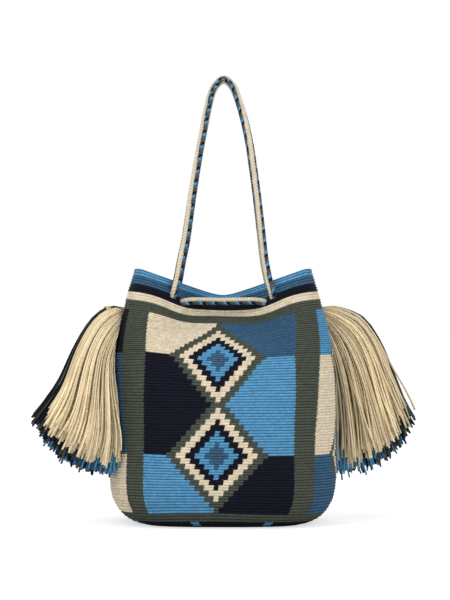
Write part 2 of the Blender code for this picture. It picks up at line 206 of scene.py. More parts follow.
def make_fibre_group():
    """Dye and fibres: a colour that drifts a little, and a fine uneven height."""
    group, start, end = new_group(
        "yarn fibres",
        [("Colour", "NodeSocketColor", (1, 1, 1, 1)), ("Drift", "NodeSocketFloat", 0.12),
         ("Fibre", "NodeSocketFloat", 1800.0)],
        [("Colour", "NodeSocketColor"), ("Height", "NodeSocketFloat")])
    place = group.nodes.new("ShaderNodeTexCoord")
    dye = group.nodes.new("ShaderNodeTexNoise")
    dye.inputs["Scale"].default_value = 160
    dye.inputs["Detail"].default_value = 3
    group.links.new(place.outputs["Object"], dye.inputs["Vector"])
    fibre = group.nodes.new("ShaderNodeTexNoise")
    fibre.inputs["Detail"].default_value = 2
    group.links.new(place.outputs["Object"], fibre.inputs["Vector"])
    group.links.new(start.outputs["Fibre"], fibre.inputs["Scale"])
    both = math_node(group, "ADD", dye.outputs[0], fibre.outputs[0])
    even = math_node(group, "SUBTRACT", both, 1.0)
    drift = math_node(group, "MULTIPLY", even, start.outputs["Drift"])
    level = math_node(group, "ADD", drift, 1.0)
    scale = group.nodes.new("ShaderNodeVectorMath")
    scale.operation = "SCALE"
    group.links.new(start.outputs["Colour"], scale.inputs[0])
    group.links.new(level, scale.inputs["Scale"])
    group.links.new(scale.outputs[0], end.inputs["Colour"])
    group.links.new(fibre.outputs[0], end.inputs["Height"])
    return group


PLIES = make_ply_group()
FIBRES = make_fibre_group()


def yarn_finish(name, colour=None, plies=(2.0, 40.0), bump=0.3, distance=0.0002, drift=0.5):
    """Cotton yarn. With no colour it takes the piece's own colours, kept for each corner."""
    material = bpy.data.materials.new(name)
    material.use_nodes = True
    tree = material.node_tree
    shader = tree.nodes["Principled BSDF"]
    shader.inputs["Roughness"].default_value = 0.95
    shader.inputs["Sheen Weight"].default_value = 0.025
    shader.inputs["Sheen Roughness"].default_value = 0.5
    shader.inputs["Specular IOR Level"].default_value = 0.12
    haze = tree.nodes.new("ShaderNodeGroup")
    haze.node_tree = FIBRES
    haze.inputs["Drift"].default_value = drift
    if colour is None:
        own = tree.nodes.new("ShaderNodeAttribute")
        own.attribute_name = "yarn"
        tree.links.new(own.outputs["Color"], haze.inputs["Colour"])
    else:
        haze.inputs["Colour"].default_value = (*colour, 1)
    ply = tree.nodes.new("ShaderNodeGroup")
    ply.node_tree = PLIES
    ply.inputs["Round"].default_value = plies[0]
    ply.inputs["Along"].default_value = plies[1]
    height = math_node(tree, "MULTIPLY_ADD", haze.outputs["Height"], 0.5, ply.outputs["Height"])
    relief = tree.nodes.new("ShaderNodeBump")
    relief.inputs["Strength"].default_value = bump
    relief.inputs["Distance"].default_value = distance
    tree.links.new(height, relief.inputs["Height"])
    tree.links.new(relief.outputs["Normal"], shader.inputs["Normal"])
    tree.links.new(haze.outputs["Colour"], shader.inputs["Base Color"])
    return material


def finish_piece(piece, material, body, nodes):
    piece.data.materials.clear()
    piece.data.materials.append(material)
    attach(piece, body)
    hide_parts(*nodes)
    triangles = sum(len(face.vertices) - 2 for face in piece.data.polygons)
    print(piece.name, "has", triangles, "triangles")


# %% [markdown]
# The handle cord and the cord across the mouth are thick crocheted cords, about 8 mm through.
# A bent cylinder could stand for one, but its smooth edge shows even from far away, so the
# stitches are modelled. Each cord goes into the wall and ends in a stopper knot inside. The
# routes are the ones that the solids follow, so a cord stays on the cord it stands for.

# %% The routes of the cords
CORD_DIAMETER = 8 * MM
STITCH_LENGTH = 3.4 * MM
HANDLE_ROUTE = (
    (-0.0531, -0.0563, 0.2353), (-0.0526, -0.0598, 0.2378), (-0.0519, -0.0632, 0.2408),
    (-0.0506, -0.0657, 0.2450), (-0.0489, -0.0660, 0.2510), (-0.0470, -0.0636, 0.2595),
    (-0.0437, -0.0572, 0.2775), (-0.0391, -0.0495, 0.3000), (-0.0335, -0.0385, 0.3387),
    (-0.0273, -0.0285, 0.3789), (-0.0200, -0.0180, 0.4184), (-0.0141, -0.0102, 0.4470),
    (-0.0085, -0.0066, 0.4614), (0.0008, -0.0047, 0.4686), (0.0102, -0.0066, 0.4614),
    (0.0162, -0.0102, 0.4470), (0.0225, -0.0165, 0.4255), (0.0280, -0.0230, 0.4002),
    (0.0320, -0.0298, 0.3736), (0.0356, -0.0370, 0.3471), (0.0397, -0.0465, 0.3123),
    (0.0437, -0.0572, 0.2775), (0.0470, -0.0636, 0.2595), (0.0489, -0.0660, 0.2510),
    (0.0506, -0.0657, 0.2450), (0.0519, -0.0632, 0.2408), (0.0526, -0.0598, 0.2378),
    (0.0531, -0.0563, 0.2353))
MOUTH_ROUTE = (
    (-0.0464, -0.0526, 0.2318), (-0.0400, -0.0548, 0.2332), (-0.0310, -0.0550, 0.2340),
    (-0.0160, -0.0505, 0.2338), (0.0000, -0.0475, 0.2335), (0.0160, -0.0505, 0.2338),
    (0.0310, -0.0550, 0.2340), (0.0400, -0.0548, 0.2332), (0.0464, -0.0526, 0.2318))


def smooth_path(corners, count):
    """Evenly spaced points on a smooth curve through the corners."""
    corners = np.asarray(corners, float)
    ends = np.vstack([2 * corners[0] - corners[1], corners, 2 * corners[-1] - corners[-2]])
    t = np.linspace(0, 1, 20, endpoint=False)[:, None]
    fine = []
    for a, b, c, d in zip(ends, ends[1:], ends[2:], ends[3:]):
        fine.append(0.5 * (2 * b + (c - a) * t + (2 * a - 5 * b + 4 * c - d) * t**2
                           + (3 * b - a - 3 * c + d) * t**3))
    fine = np.vstack(fine + [corners[-1:]])
    walked = np.concatenate([[0], np.cumsum(np.linalg.norm(np.diff(fine, axis=0), axis=1))])
    goals = np.linspace(0, walked[-1], count)
    places = np.stack([np.interp(goals, walked, fine[:, axis]) for axis in range(3)], axis=1)
    return places, walked[-1]


def path_frames(path, first_side):
    """Two directions square to the path at each point, turned as little as possible."""
    ahead = np.gradient(path, axis=0)
    ahead /= np.linalg.norm(ahead, axis=1)[:, None]
    sides = np.empty_like(path)
    side = np.asarray(first_side, float)
    for index, direction in enumerate(ahead):
        side = side - direction * side.dot(direction)
        side = side / np.linalg.norm(side)
        sides[index] = side
    return sides, np.cross(ahead, sides)


# %% [markdown]
# Four columns of stitches run along a cord. Two are plain cream, and the two between them
# change colour with every stitch. The relief is a height over the plain tube: a groove between
# two columns, and in each column a row of slanting stitches. A face takes the colour of its
# column. The cord turns a little on its way, so each kind of cord has a short list of places
# along it, each with the turn at which a cream column faces the viewer.


# %% Crocheted cords
HANDLE_TURNS = ((0.0, -0.05), (0.08, -0.07), (0.25, -0.12), (0.38, -0.165), (0.46, -0.215),
                (0.50, -0.24), (0.54, -0.17), (0.60, -0.09), (0.70, 0.0), (0.80, 0.05),
                (0.90, 0.115), (1.0, 0.19))
MOUTH_TURNS = ((0.0, -0.14), (1.0, -0.14))
MIXED = np.array([NAVY, GREY, (0.075, 0.130, 0.160), SKY])


def cord_stitches(turns, around, along, length):
    """For places on a cord: the column, how far from its middle, and the stitch number."""
    twist = np.interp(along, [turn[0] for turn in turns], [turn[1] for turn in turns])
    place = (around - twist) * 4
    which = np.floor(place + 0.5)
    off = (place - which) * 2
    return which, off, along * length / STITCH_LENGTH + which * 0.5 - off * 0.5


def crochet_cord(name, route, turns, around=32, steps_in_stitch=6):
    _, length = smooth_path(route, 3)
    up = round(length / STITCH_LENGTH * steps_in_stitch)
    path, length = smooth_path(route, up + 1)
    piece, column, row = add_grid(name, around, up)
    uv, middle = corner_places(piece)
    sides, others = path_frames(path, (0, -1, 0))
    round_cord = np.arange(around + 1) / around
    along = np.arange(up + 1) / up
    _, off, stitch = cord_stitches(turns, round_cord[None, :], along[:, None], length)
    full = 0.5 - 0.5 * np.cos(stitch * 2 * math.pi)
    height = 0.72 * np.sqrt(1 - 0.8 * off**2) + 0.28 * full
    radius = CORD_DIAMETER / 2 * (0.76 + 0.28 * height)
    angle = round_cord * 2 * math.pi
    points = (path[:, None, :]
              + sides[:, None, :] * (np.cos(angle)[None, :] * radius)[:, :, None]
              + others[:, None, :] * (np.sin(angle)[None, :] * radius)[:, :, None])
    which, _, count = cord_stitches(turns, middle[:, 0], middle[:, 1], length)
    mixed = MIXED[np.floor(count).astype(int) % 4]
    colours = np.where((which % 2 == 0)[:, None], np.array(CREAM)[None, :], mixed)
    # Painted shade: the colour darkens towards the groove between columns and in the gap between
    # stitches.
    _, off, stitch = cord_stitches(turns, uv[:, 0], uv[:, 1], length)
    seam = np.abs(stitch - np.rint(stitch)).clip(0, 0.25) * 4
    colours = colours * ((1 - 0.45 * off**4) * (0.58 + 0.42 * seam))[:, None]
    paint(piece, colours)
    lay(piece, column, row, points)
    print(name, "is", round(length / MM), "mm long")
    return piece, path, length


def mirror_route(route, sign):
    return [(x, y * sign, z) for x, y, z in route]


CORD_FINISH = yarn_finish("crocheted cord", plies=(24.0, 300.0), bump=0.35, distance=0.0003)
for side, sign in (("front", 1), ("back", -1)):
    for kind, route, turns in (("handle", HANDLE_ROUTE, HANDLE_TURNS),
                               ("mouth", MOUTH_ROUTE, MOUTH_TURNS)):
        node = side + "_" + kind + "_cord"
        piece, path, length = crochet_cord(
            side + "_" + kind + "_crocheted_cord", mirror_route(route, sign), turns)
        finish_piece(piece, CORD_FINISH, "bag", [node])

# %% [markdown]
# The wall of the bag is a rounded box in section. It swells above the base, draws in to the
# mouth, and there its front and back fold inwards and sag between the corners. These are the
# same curves that shape the solid, so the crochet lies on it. Two more curves are added for the
# cloth: the stripes hang flat between the eyelets, and the rim creases to a rounded V. A place
# on the wall is a row, counted up from the lower edge, and a turn from the front centre.

# %% The shape of the wall
ROWS = 97
STITCHES = 296
BODY_HEIGHT = 269 * MM
BASE_HALF = (80 * MM, 74 * MM)
BELLY_HALF = (118.7 * MM, 109 * MM)
MOUTH_HALF = (92.8 * MM, 84 * MM)
MOUTH_HALF_GAP = 18 * MM
MOUTH_DIP = 29.8 * MM
DIP_SHARPNESS = 2.4
WALL = 3 * MM
SPREAD = ((-2, 0.0), (0, 0.336), (3, 0.65), (8, 0.915), (14, 1.0), (20, 1.0))
WIDTH_TAPER = ((14, 0.0), (25, 0.0), (42, 0.03), (61, 0.10), (72, 0.30), (82, 0.57), (89, 0.76),
               (97, 1.0))
DEPTH_TAPER = ((14, 0.0), (25, 0.0), (44, 0.05), (61, 0.24), (82, 0.70), (97, 1.0))
HEIGHTS = ((-2, 0.0), (0, 0.012), (3, 0.039), (8, 0.096), (14, 0.163), (25, 0.277), (44, 0.485),
           (52, 0.571), (61, 0.662), (72, 0.755), (82, 0.844), (89, 0.914), (97, 1.0))
PINCHES = ((20, 0.0), (34, 0.0), (44, 0.025), (52, 0.095), (61, 0.21), (70, 0.42), (78, 0.59),
           (82, 0.67), (89, 0.825), (97, 1.0))
DIPS = ((30, 0.0), (46, 0.0), (61, 0.084), (78, 0.47), (82, 0.55), (89, 0.72), (97, 1.0))
SQUARING = ((20, 0.0), (36, 0.0), (61, 0.45), (82, 1.0), (97, 1.0))
FLATTENING = ((60, 0.0), (68, 0.0), (82, 1.0), (97, 1.0))
CREASING = ((80, 0.0), (87, 0.0), (95, 0.9), (97, 1.0))
CORNER_DROP = 3 * MM


def smooth_value(points, at):
    """Read a smooth curve through (place, value) points, held level past its two ends."""
    at = min(max(at, points[0][0]), points[-1][0])
    index = max(i for i, point in enumerate(points[:-1]) if point[0] <= at)
    (start, first), (end, last) = points[index], points[index + 1]
    before = points[max(index - 1, 0)]
    after = points[min(index + 2, len(points) - 1)]
    slope_in = (end - start) * (last - before[1]) / (end - before[0])
    slope_out = (end - start) * (after[1] - first) / (after[0] - start)
    t = (at - start) / (end - start)
    return (first * (2 * t**3 - 3 * t**2 + 1) + slope_in * (t**3 - 2 * t**2 + t)
            + last * (3 * t**2 - 2 * t**3) + slope_out * (t**3 - t**2))


@functools.lru_cache(maxsize=None)
def quarter_section(row):
    """A quarter of the rounded box at a row, from the front centre to the side's centre."""
    spread = smooth_value(SPREAD, row)
    width = BASE_HALF[0] + (BELLY_HALF[0] - BASE_HALF[0]) * spread
    depth = BASE_HALF[1] + (BELLY_HALF[1] - BASE_HALF[1]) * spread
    width -= (BELLY_HALF[0] - MOUTH_HALF[0]) * smooth_value(WIDTH_TAPER, row)
    depth -= (BELLY_HALF[1] - MOUTH_HALF[1]) * smooth_value(DEPTH_TAPER, row)
    power = 3 + 2 * smooth_value(SQUARING, row)
    angle = np.linspace(0, math.pi / 2, 91)
    across, along = np.sin(angle), np.cos(angle).clip(0)
    radius = ((across / width)**power + (along / depth)**power)**(-1 / power)
    x, y = radius * across, radius * along
    walked = np.concatenate([[0], np.cumsum(np.hypot(np.diff(x), np.diff(y)))])
    return x, y, walked, width


def wall_ring(row, turns):
    """Points of the wall at one row, for an array of turns."""
    x_quarter, y_quarter, walked, width = quarter_section(round(float(row), 4))
    quarter = (turns % 1.0) * 4
    which = np.minimum(quarter.astype(int), 3)
    share = quarter - which
    share = np.where(which % 2 == 1, 1 - share, share)
    x = np.interp(share * walked[-1], walked, x_quarter)
    y = np.interp(share * walked[-1], walked, y_quarter)
    x = np.where(which < 2, x, -x)
    y = np.where((which == 0) | (which == 3), -y, y)
    out = np.minimum(1, np.abs(x) / width)
    fold = np.cos(math.pi / 2 * out)**DIP_SHARPNESS
    y = y * (1 - (1 - MOUTH_HALF_GAP / MOUTH_HALF[1]) * smooth_value(PINCHES, row) * fold)
    flat = 1 / (1 + (out / 0.6)**5)
    pointed = (1 - (np.sqrt(out**2 + 0.012) - 0.11) / 0.896).clip(0, 1)
    sag = fold + (flat - fold) * smooth_value(FLATTENING, row)
    sag = sag + (pointed - sag) * smooth_value(CREASING, row)
    corner = ((out - 0.88) / 0.12).clip(0, 1)**2 * CORNER_DROP * smooth_value(CREASING, row)
    z = BODY_HEIGHT * smooth_value(HEIGHTS, row) - corner
    z = z - MOUTH_DIP * smooth_value(DIPS, row) * sag
    return np.stack([x, y, z], axis=1)


def wall_line(row, turns):
    """Places on the wall at one row, and the direction outwards at each of them."""
    above, below = wall_ring(min(row + 0.7, ROWS), turns), wall_ring(max(row - 0.7, -2), turns)
    after, before = wall_ring(row, turns + 0.004), wall_ring(row, turns - 0.004)
    normals = np.cross(after - before, above - below)
    normals /= np.linalg.norm(normals, axis=1)[:, None]
    return wall_ring(row, turns), normals


belly = wall_ring(17, np.linspace(0, 1, 200))
print("belly:", [round(side / MM) for side in np.ptp(belly, axis=0)[:2]], "mm")


# %% [markdown]
# The pattern is worked in blocks. Four panels go round the bag with grey-green bands between
# them. Each panel has two stepped diamonds, one above the other, and the blocks of colour
# change at the diamonds' middles. One step of the pattern is two stitches wide and two rows
# high. Above the panels, stripes run round the mouth.

# %% The pattern
STEPS_ROUND = 148
PANEL_STEPS = 37
PANEL_HALF = 15.5
DIAMOND_ROWS = (24, 60)
LAYERS = ("grey", "denim", "denim", "sky", "sky", "navy", "navy", "cream", "cream", "grey", "grey")
BLOCKS = (
    (("cream", "navy", "sky"), ("denim", "sky", "navy")),
    (("sky", "cream", "denim"), ("navy", "denim", "cream")),
    (("cream", "navy", "sky"), ("denim", "sky", "navy")),
    (("sky", "cream", "denim"), ("navy", "denim", "cream")))
STRIPES = ((82, 86, "grey"), (86, 89, "cream"), (89, 92, "navy"), (92, 95, "denim"),
           (95, 98, "sky"))
BASE_SPOTS = 8
FIRST_SPOT = -6.5


def base_spot(step):
    """Whether a small square of the base's pattern falls on this step."""
    between = STEPS_ROUND / BASE_SPOTS
    return (step - FIRST_SPOT) % between < 2


def yarn_at(row, step):
    """The name of the yarn at a row and at a step round the bag from the front centre."""
    if row < 1:
        return "sky" if base_spot(step) and row > -2 else "navy"
    if row < 4:
        return "grey"
    for low, high, name in STRIPES:
        if low <= row < high:
            return name
    panel = round(step / PANEL_STEPS)
    off = step - panel * PANEL_STEPS
    if abs(off) > PANEL_HALF:
        return "grey"
    layer = min(abs(off) + abs((row - centre) // 2) for centre in DIAMOND_ROWS)
    if layer < len(LAYERS):
        return LAYERS[layer]
    level = 0 if row >= 61 else (1 if row >= 25 else 2)
    return BLOCKS[panel % 4][0 if off < 0 else 1][level]


YARN_NAMES = list(YARNS)
PATTERN = np.array([[YARN_NAMES.index(yarn_at(row, step)) for step in range(STEPS_ROUND)]
                    for row in range(-2, ROWS + 1)])
YARN_COLOURS = np.array([YARNS[name] for name in YARN_NAMES])
print("pattern:", PATTERN.shape[0], "rows of", PATTERN.shape[1], "steps")

# %% [markdown]
# Each stitch is a small bump that leans to the right, and each row of them is a ridge. Every
# second groove is deeper, which gives the wall its even ribs. The grooves are painted darker:
# partly the yarn that is carried along behind and shows there, partly painted shade. Real
# relief is made for all of this, four rings of points to a row and two points to a stitch,
# because it catches the light at the outline as well as on the wall. No worked pattern is
# quite straight either: the stitches stray sideways as the spiral goes up, and the fold pulls
# them up or down. One small table gives the way sideways, in steps of the pattern, and one the
# way up, in rows.

# %% The crocheted wall
RINGS_IN_ROW = 4
RING_RISE = np.array([0.0, 0.70, 1.0, 0.80])
STITCH_LEAN = np.array([-0.24, -0.10, 0.06, 0.22])
ROW_SHIFT = 0.12
CREST = 0.50 * MM
DEEP_GROOVE = 1.20 * MM
SHALLOW_GROOVE = 1.00 * MM
STITCH_RISE = 0.16 * MM
DRIFT_COLUMNS = (-37, -21.5, -15.5, -8.5, 0, 8.5, 15.5, 21.5, 37)
DRIFT_ROWS = (3, 25, 44, 61, 82, 97)
DRIFT = np.array((
    (0, 0.40, -0.85, -1.10, -1.45, -1.50, -1.20, -2.2, 0),
    (0, 1.00, -0.62, -0.81, -1.30, -1.74, -1.20, -2.2, 0),
    (0, 0.00, -0.45, -0.70, -0.95, -1.30, -1.00, -1.6, 0),
    (0, 0.15, 0.00, 0.00, -1.00, -2.15, -1.20, -1.4, 0),
    (0, -0.30, -0.63, -0.80, -0.97, -0.50, 0.10, 0.0, 0),
    (0, 0.00, -0.30, -0.40, -0.50, -0.30, 0.00, 0.0, 0)))
CLIMB_ROWS = (-2, 3, 25, 44, 61, 82)
CLIMB = np.array((
    (0, 0.0, 0.0, 0.0, 0.0, 0.0, 0.0, 0.0, 0),
    (0, 0.3, 0.4, 0.8, 1.1, 0.6, 0.1, 0.0, 0),
    (0, 0.6, 0.9, 0.6, 0.2, 0.3, 0.3, 0.3, 0),
    (0, 0.0, 0.0, 0.0, 0.0, 0.0, 0.0, 0.0, 0),
    (0, 1.2, 2.0, 1.0, -1.2, -0.2, 0.2, 0.2, 0),
    (0, 0.0, 0.0, 0.0, 0.0, 0.0, 0.0, 0.0, 0)))
random = np.random.default_rng(7)
STITCH_LEVEL = random.normal(0, 1, (ROWS + 4, STITCHES)).clip(-2, 2)
STITCH_SHADE = 1 + 0.07 * random.normal(0, 1, (ROWS + 4, STITCHES)).clip(-2, 2)


def uneven(turns, row):
    """Slow waves in the wall, because no hand keeps the same tension all round."""
    angle = turns * 2 * math.pi
    return (0.45 * np.sin(3 * angle + row * 0.11) + 0.35 * np.sin(7 * angle - row * 0.19 + 1)
            + 0.22 * np.sin(13 * angle + row * 0.31 + 2) + 0.15 * np.sin(row * 1.7)) * MM * 0.8


def read_drift(rows, table, turns, row):
    """How far the stitches stray at this row: sideways in steps, or upwards in rows."""
    steps = np.array([np.interp(row, rows, table[:, index])
                      for index in range(len(DRIFT_COLUMNS))])
    return np.interp(turns * STEPS_ROUND, DRIFT_COLUMNS, steps)


def crochet_wall(name, low, high):
    around = STITCHES * 2
    up = (high - low) * RINGS_IN_ROW
    piece, column, ring = add_grid(name, around, up)
    uv, middle = corner_places(piece)
    turns = np.arange(around + 1) / around - 0.5
    numbers = low + np.arange(up + 1) / RINGS_IN_ROW
    points = np.empty((up + 1, around + 1, 3))
    for index, number in enumerate(numbers):
        phase = index % RINGS_IN_ROW
        row = int(math.floor(number + 1e-6))
        lean = STITCH_LEAN[phase] + (ROW_SHIFT if row % 2 else -ROW_SHIFT)
        leaning = turns + lean / STITCHES
        leaning = leaning + read_drift(DRIFT_ROWS, DRIFT, turns, number) / STEPS_ROUND
        place, normal = wall_line(number, leaning)
        climb = read_drift(CLIMB_ROWS, CLIMB, turns, number)
        next_row = wall_ring(min(number + 1, ROWS), leaning)
        place = place + (next_row - place) * climb[:, None]
        stitch = np.floor((turns + 0.5) * STITCHES + 1e-6).astype(int) % STITCHES
        bump = np.where(np.arange(around + 1) % 2 == 1, 1.0, -1.0) * STITCH_RISE
        level = STITCH_LEVEL[row + 2, stitch] * 0.05 * MM
        groove = SHALLOW_GROOVE if phase == 0 and row % 2 else DEEP_GROOVE
        rise = CREST - groove * (1 - RING_RISE[phase])
        rise = rise + (bump + level) * (0.35 + 0.65 * RING_RISE[phase])
        fade = min(1, max(0, number / 6)) * min(1, max(0, (ROWS - number) / 6))
        rise = rise + uneven(turns, number) * fade
        points[index] = place + normal * rise[:, None]
        points[index, -1] = points[index, 0]
    stitch = np.floor(middle[:, 0] * STITCHES).astype(int) % STITCHES
    step = ((stitch - STITCHES // 2 + 1) // 2) % STEPS_ROUND
    face_row = np.floor(low + middle[:, 1] * (high - low)).astype(int)
    yarn = PATTERN[face_row + 2, step]
    shade = STITCH_SHADE[face_row + 2, stitch]
    ring_number = np.rint(uv[:, 1] * up).astype(int)
    phase = ring_number % RINGS_IN_ROW
    deep = (low * RINGS_IN_ROW + ring_number) // RINGS_IN_ROW % 2 == 0
    # The grooves are painted darker, cream less so: partly the carried yarn, partly painted shade.
    dark = np.where(phase == 0, np.where(deep, 0.20, 0.30), 1.04)
    dark = np.where(yarn == YARN_NAMES.index("cream"), 0.68 + 0.32 * dark, dark)
    paint(piece, YARN_COLOURS[yarn] * (shade * dark)[:, None])
    lay(piece, column, ring, points, fill=False)
    return piece


WALL_FINISH = yarn_finish("crocheted wall", plies=(STITCHES * 2.0, 97.0 * 1.5), bump=0.25,
                          distance=0.0002, drift=0.3)
for name, low, high in (("lower_wall", -2, 30), ("middle_wall", 30, 62), ("mouth_wall", 62, 97)):
    piece = crochet_wall(name, low, high)
    finish_piece(piece, WALL_FINISH, "bag", ["bag_body"])

# %% [markdown]
# Inside, the wall shows the same rows from behind, painted a fifth darker. One skin goes over
# the rim, down the inside and across the floor.


# %% The lining side
def inner_skin(name):
    around = STITCHES
    numbers = [97, 97, 97] + list(np.arange(97, -0.1, -0.5))
    lifts = [CREST, CREST * 0.2, -WALL * 0.75] + [None] * (len(numbers) - 3)
    floor = np.linspace(0.94, 0.0, 24)
    piece, column, ring = add_grid(name, around, len(numbers) + len(floor) - 1)
    uv, middle = corner_places(piece)
    turns = np.arange(around + 1) / around - 0.5
    rings = []
    for index, number in enumerate(numbers):
        place, normal = wall_line(number, turns)
        lift = lifts[index]
        if lift is None:
            lift = -WALL - (0.25 if number % 1 else -0.25) * MM
        ring_points = place + normal * lift
        if 0 < index < 3:
            ring_points[:, 2] += 1.1 * MM
        rings.append(ring_points)
    last = rings[-1].copy()
    for index, share in enumerate(floor):
        ring_points = last * share
        ring_points[:, 2] = WALL + (0.25 if index % 2 else 0) * MM + 0.2 * MM
        rings.append(ring_points)
    points = np.stack(rings)
    points[:, -1] = points[:, 0]
    count = len(points) - 1
    ring_number = np.clip(np.floor(middle[:, 1] * count).astype(int), 0, count - 1)
    row = np.array([int(number) for number in numbers] + [-1] * len(floor))[ring_number]
    stitch = np.floor(middle[:, 0] * STITCHES).astype(int) % STITCHES
    step = ((stitch - STITCHES // 2 + 1) // 2) % STEPS_ROUND
    yarn = PATTERN[np.clip(row + 2, 0, ROWS + 2), step]
    # The inside is painted a fifth darker than the outside.
    shade = 0.8 * STITCH_SHADE[np.clip(row + 2, 0, ROWS + 2), stitch]
    paint(piece, YARN_COLOURS[yarn] * shade[:, None])
    lay(piece, column, ring, points, fill=False)
    return piece


piece = inner_skin("inner_wall")
finish_piece(piece, WALL_FINISH, "bag", ["bag_body"])

# %% [markdown]
# The base is worked from its centre outwards in flat rounds, in navy, with small sky blue
# squares near its edge. The groove between rounds is painted darker, as painted shade.


# %% The base
def crochet_base(name):
    around = STITCHES
    rounds = 26
    rings_in_round = 3
    up = rounds * rings_in_round
    piece, column, ring = add_grid(name, around, up)
    uv, middle = corner_places(piece)
    turns = np.arange(around + 1) / around - 0.5
    edge = wall_ring(-2, turns)
    points = np.empty((up + 1, around + 1, 3))
    for index in range(up + 1):
        share = 1 - index / up
        phase = index % rings_in_round
        points[index] = edge * share
        count = max(8, round(STITCHES * 0.5 * share))
        stitch = np.cos(turns * 2 * math.pi * count) * 0.12 * MM
        lift = (0.55 * MM if phase == 0 else 0.12 * MM) + (stitch if phase else 0)
        points[index, :, 2] = np.maximum(lift, 0)
    points[0, :, 2] = 0.1 * MM
    points[:, -1] = points[:, 0]
    step = np.floor((middle[:, 0] - 0.5) * STEPS_ROUND + 0.5)
    round_number = np.floor((1 - middle[:, 1]) * rounds)
    inner_spot = (round_number >= 15) & (round_number <= 17)
    yarn = np.where(base_spot(step) & ((round_number >= 25) | inner_spot),
                    YARN_NAMES.index("sky"), YARN_NAMES.index("navy"))
    ring_number = np.rint(uv[:, 1] * up).astype(int)
    # Painted shade: the groove at the start of each round is painted half as bright.
    dark = np.where(ring_number % rings_in_round == 0, 0.5, 1.0)
    paint(piece, YARN_COLOURS[yarn] * dark[:, None])
    lay(piece, column, ring, points, fill=False)
    return piece


piece = crochet_base("base_rounds")
finish_piece(piece, WALL_FINISH, "bag", ["bag_body"])

# %% [markdown]
# The tassels hang at the two sides. A tie comes out of the wall, a loop hangs on it, and a
# wrap of cord binds the strands at the neck. The turned directions are the same as those of
# the solids: outwards from the bag, and sideways towards the viewer.

# %% Where the tassels hang
TASSEL_TURN = math.radians(24)
PIVOT = np.array([0.11089, 0.05589, 0.22207])
LOOP_LENGTH = 7.0 * MM
WRAP_LENGTH = 5.0 * MM
WRAP_RADIUS = 6.8 * MM
GAP = 0.3 * MM


def tassel_axes(sign):
    outward = np.array([math.cos(TASSEL_TURN), math.sin(TASSEL_TURN), 0]) * sign
    sideways = np.array([math.sin(TASSEL_TURN), -math.cos(TASSEL_TURN), 0])
    pivot = PIVOT * np.array([sign, sign, 1])
    return pivot, outward, sideways


def tube(name, path, radius, around=10, first_side=(0, 0, 1)):
    """A round cord along a path, with filled ends."""
    piece, column, row = add_grid(name, around, len(path) - 1)
    sides, others = path_frames(path, first_side)
    angle = np.arange(around + 1) / around * 2 * math.pi
    size = np.broadcast_to(radius, len(path))[:, None, None]
    points = (path[:, None, :] + (sides[:, None, :] * np.cos(angle)[None, :, None]
                                  + others[:, None, :] * np.sin(angle)[None, :, None]) * size)
    points[:, -1] = points[:, 0]
    return lay(piece, column, row, points)


def winding(centre, axis, first, radius, turns, pitch, steps=20):
    """A helix round an axis."""
    angle = np.linspace(0, turns * 2 * math.pi, int(turns * steps) + 1)[:, None]
    second = np.cross(axis, first)
    along = (angle / (2 * math.pi) - turns / 2) * pitch
    return (np.asarray(centre) + np.asarray(axis) * along
            + (np.asarray(first) * np.cos(angle) + second * np.sin(angle)) * radius)


def knot_path(centre, axis, first, size):
    """An overhand knot that closes on itself."""
    second = np.cross(axis, first)
    t = np.linspace(0, 2 * math.pi, 73)[:, None]
    across = np.sin(t) + 2 * np.sin(2 * t)
    along = np.cos(t) - 2 * np.cos(2 * t)
    through = -np.sin(3 * t)
    return np.asarray(centre) + (np.asarray(first) * across + second * along
                                 + np.asarray(axis) * through * 1.3) * size / 3


THREAD_FINISH = yarn_finish("wound cord", (0.62, 0.50, 0.31), plies=(3.0, 60.0), bump=0.5,
                            distance=0.0003)
UP = np.array([0.0, 0.0, 1.0])
for hand, sign in (("left", -1), ("right", 1)):
    pivot, outward, sideways = tassel_axes(sign)
    bead = pivot - outward * 3.9 * MM
    piece = tube(hand + "_tie", winding(bead, outward, UP, 2.5 * MM, 2.6, 1.25 * MM), 0.95 * MM)
    finish_piece(piece, THREAD_FINISH, "bag", [hand + "_tie_cord"])
    inner = bead - outward * 9.6 * MM
    piece = tube(hand + "_tie_knot", knot_path(inner, outward, UP, 3.6 * MM), 1.5 * MM)
    finish_piece(piece, THREAD_FINISH, "bag", [hand + "_tie_cord"])
    neck = pivot + outward * (LOOP_LENGTH + GAP + WRAP_LENGTH / 2)
    loop = []
    for t in np.linspace(0, 1, 25):
        swing = math.sin(t * math.pi)
        loop.append(pivot + outward * (8.5 * MM * (1 - swing) - 0.9 * MM * swing)
                    + UP * (1.5 * MM * math.cos(t * math.pi)))
    piece = tube(hand + "_loop", np.array(loop), 0.95 * MM, first_side=sideways)
    finish_piece(piece, THREAD_FINISH, hand + "_loop", [hand + "_hanging_loop"])
    piece = tube(hand + "_neck_winding",
                 winding(neck, outward, UP, WRAP_RADIUS - 1.0 * MM, 3.2, 1.5 * MM), 1.0 * MM)
    finish_piece(piece, THREAD_FINISH, hand + "_tassel", [hand + "_neck_wrap"])

# %% [markdown]
# A stopper knot inside each corner of the mouth holds the ends of the handle cord and of the
# cord across the mouth. It is tied in the same cord.

# %% Stopper knots
KNOT_CENTRE = (0.0540, -0.0495, 0.2305)
for side, sign_y in (("front", 1), ("back", -1)):
    for hand, sign_x in (("left", -1), ("right", 1)):
        centre = np.array(KNOT_CENTRE) * np.array([sign_x, sign_y, 1])
        path = knot_path(centre, UP, np.array([1.0, 0, 0]), 4.3 * MM)
        piece = tube(side + "_" + hand + "_stopper", path, 3.0 * MM, around=16)
        finish_piece(piece, THREAD_FINISH, "bag", [side + "_" + hand + "_knot"])

